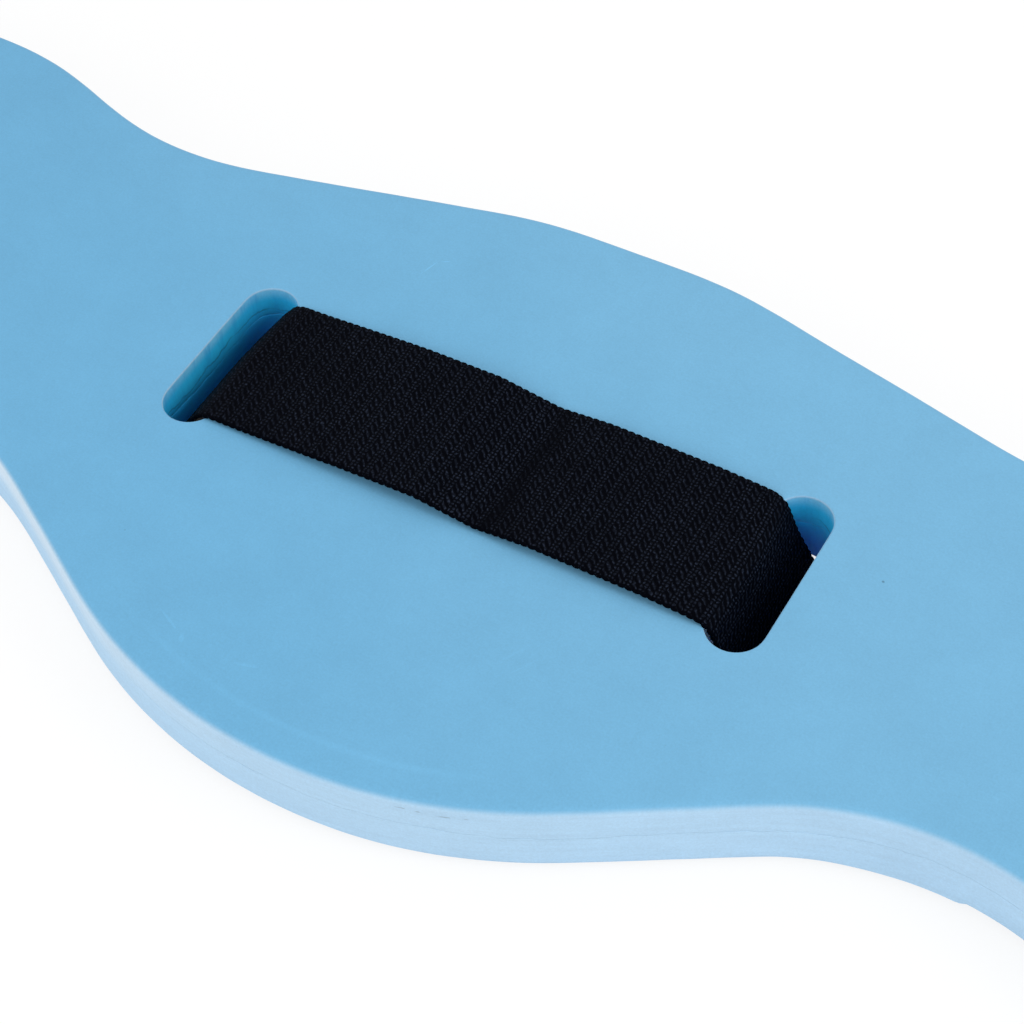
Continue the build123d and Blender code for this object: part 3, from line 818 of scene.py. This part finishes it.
bead_places = [(row, side * (WEBBING_WIDTH / 2 - BEAD_INSET))
               for row in range(0, len(strap_line), BEAD_PICKS) for side in (-1, 1)]
selvedge = piece("webbing_selvedge", bead_mesh("webbing_selvedge", bead_places),
                 "belt", webbing)

# Stitches, in millimetres
STITCH_PITCH = 2.9
STITCH_HALF = 0.44 * STITCH_PITCH
THREAD_RADIUS = 0.34
STITCH_RISE = 0.24             # height of a stitch's middle above the cloth
STITCH_SINK = 0.42             # how much lower its ends are
STITCH_SIDES = 6
STITCH_RIBS = (-1.0, -0.8, -0.4, 0.0, 0.4, 0.8, 1.0)


def stitch_mesh(name, seams):
    """Sunken stitches along seams, each ((x, y), (x, y), height of the cloth) in millimetres."""
    points, faces = [], []
    for begin, end, height in seams:
        begin, end = Vector(begin), Vector(end)
        run = (end - begin).normalized()
        count = max(1, round((end - begin).length / STITCH_PITCH))
        for k in range(count):
            middle = begin.lerp(end, (k + 0.5) / count)
            start = len(points)
            for share in STITCH_RIBS:
                thick = THREAD_RADIUS * math.sqrt(max(0.03, 1 - share * share))
                sunk = height + STITCH_RISE - STITCH_SINK * share ** 4
                for turn in range(STITCH_SIDES):
                    angle = math.tau * turn / STITCH_SIDES
                    x = middle.x + run.x * share * STITCH_HALF - run.y * thick * math.cos(angle)
                    y = middle.y + run.y * share * STITCH_HALF + run.x * thick * math.cos(angle)
                    points.append((x * MM, y * MM, (sunk + thick * math.sin(angle)) * MM))
            for row in range(len(STITCH_RIBS) - 1):
                low = start + row * STITCH_SIDES
                for turn in range(STITCH_SIDES):
                    a, b = low + turn, low + (turn + 1) % STITCH_SIDES
                    faces.append((a, b, b + STITCH_SIDES, a + STITCH_SIDES))
            tip = start + (len(STITCH_RIBS) - 1) * STITCH_SIDES
            faces.append(list(range(start + STITCH_SIDES - 1, start - 1, -1)))
            faces.append(list(range(tip, tip + STITCH_SIDES)))
    made = bpy.data.meshes.new(name)
    made.from_pydata(points, [], faces)
    return made


def box_and_cross(x0, x1, half, height):
    """A stitched box with its diagonals."""
    corners = [(x0, -half), (x1, -half), (x1, half), (x0, half)]
    seams = [(corners[k], corners[(k + 1) % 4], height) for k in range(4)]
    return seams + [(corners[0], corners[2], height), (corners[1], corners[3], height)]


loop_seams = box_and_cross(SOCKET_BAR + 24, SEWN_END - 3, 20.5, HALF + LAYER + HALF)
hem_seams = [((x, -22.5), (x, 22.5), TAIL_Z + LAYER + HALF) for x in (HEM + 7.5, HEM + 11)]
stitching = piece("webbing_stitching", stitch_mesh("webbing_stitching", loop_seams + hem_seams),
                  "belt", thread)

# ================================================================ buckle
for node in ("buckle_socket", "buckle_frame", "buckle_prong_left", "buckle_prong_right",
             "strap_keeper"):
    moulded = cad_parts[node]
    moulded.data.materials.clear()
    moulded.data.materials.append(plastic)


# ================================================================ stage
def stage_material(name, colour, glow):
    """Matt white that looks lit to the camera by the share glow, and still takes shadows."""
    n = Nodes(name)
    n.shader.inputs["Base Color"].default_value = (*colour, 1)
    n.shader.inputs["Roughness"].default_value = 0.9
    light = n.add("ShaderNodeLightPath")
    seen = n.math("MAXIMUM", light.outputs["Is Camera Ray"], light.outputs["Is Glossy Ray"])
    seen = n.math("MAXIMUM", seen, light.outputs["Is Transmission Ray"])
    bright = n.add("ShaderNodeEmission", None, Color=(1, 1, 1, 1), Strength=1.05)
    blend = n.add("ShaderNodeMixShader")
    n.put(blend.inputs[0], n.math("MULTIPLY", seen, glow))
    n.put(blend.inputs[1], n.shader.outputs[0])
    n.put(blend.inputs[2], bright.outputs[0])
    n.put(n.tree.nodes["Material Output"].inputs["Surface"], blend.outputs[0])
    return n.material


def floor():
    """A wide pale floor just under the belt."""
    half = 6.0
    corners = [(-half, -half, 0), (half, -half, 0), (half, half, 0), (-half, half, 0)]
    made = bpy.data.meshes.new("floor")
    made.from_pydata(corners, [], [(0, 1, 2, 3)])
    made.materials.append(stage_material("floor", (0.92, 0.92, 0.92), 0.8))
    thing = bpy.data.objects.new("floor", made)
    thing.location.z = -0.2 * MM
    bpy.context.scene.collection.objects.link(thing)


def softbox(name, place, width, height, power):
    """A soft rectangular light aimed at the belt's middle."""
    lamp = bpy.data.lights.new(name, "AREA")
    lamp.shape = "RECTANGLE"
    lamp.size, lamp.size_y, lamp.energy = width, height, power
    thing = bpy.data.objects.new(name, lamp)
    thing.location = place
    thing.rotation_mode = "QUATERNION"
    thing.rotation_quaternion = (-Vector(place)).to_track_quat("-Z", "Y")
    bpy.context.scene.collection.objects.link(thing)


def sky(strength):
    """Even light from all round, which the camera and glossy surfaces see as full white."""
    world = bpy.data.worlds.new("studio")
    bpy.context.scene.world = world
    world.use_nodes = True
    tree = world.node_tree
    path = tree.nodes.new("ShaderNodeLightPath")
    seen = tree.nodes.new("ShaderNodeMath")
    seen.operation = "MAXIMUM"
    tree.links.new(path.outputs["Is Camera Ray"], seen.inputs[0])
    tree.links.new(path.outputs["Is Glossy Ray"], seen.inputs[1])
    level = tree.nodes.new("ShaderNodeMix")
    tree.links.new(seen.outputs[0], level.inputs[0])
    level.inputs[2].default_value = strength
    level.inputs[3].default_value = 1.0
    background = tree.nodes["Background"]
    background.inputs[0].default_value = (1, 1, 1, 1)
    tree.links.new(level.outputs[0], background.inputs[1])


def camera():
    """The view from above the near right of the belt's middle."""
    lens, distance = 87.92, 685.9 * MM
    target = Vector((15.5 * MM, -14.1 * MM, BOARD_TOP))
    azimuth, elevation, roll = (math.radians(a) for a in (32.76, 50.10, -3.85))
    back = Vector((math.sin(azimuth) * math.cos(elevation),
                   -math.cos(azimuth) * math.cos(elevation),
                   math.sin(elevation)))
    level = (-back).cross(Vector((0, 0, 1))).normalized()
    upright = level.cross(-back)
    right = math.cos(roll) * level + math.sin(roll) * upright
    up = math.cos(roll) * upright - math.sin(roll) * level
    lens_data = bpy.data.cameras.new("camera")
    lens_data.lens = lens
    lens_data.sensor_width = 36
    lens_data.clip_start = 0.01
    thing = bpy.data.objects.new("camera", lens_data)
    turn = Matrix((right, up, back)).transposed().to_4x4()
    thing.matrix_world = Matrix.Translation(target + back * distance) @ turn
    bpy.context.scene.collection.objects.link(thing)
    bpy.context.scene.camera = thing


floor()
sky(0.68)
softbox("key", (-1.1, -1.7, 1.3), 1.6, 1.2, 11)
softbox("fill", (1.7, 0.1, 1.3), 0.9, 0.9, 11)
camera()
bpy.context.scene.view_settings.view_transform = "Standard"
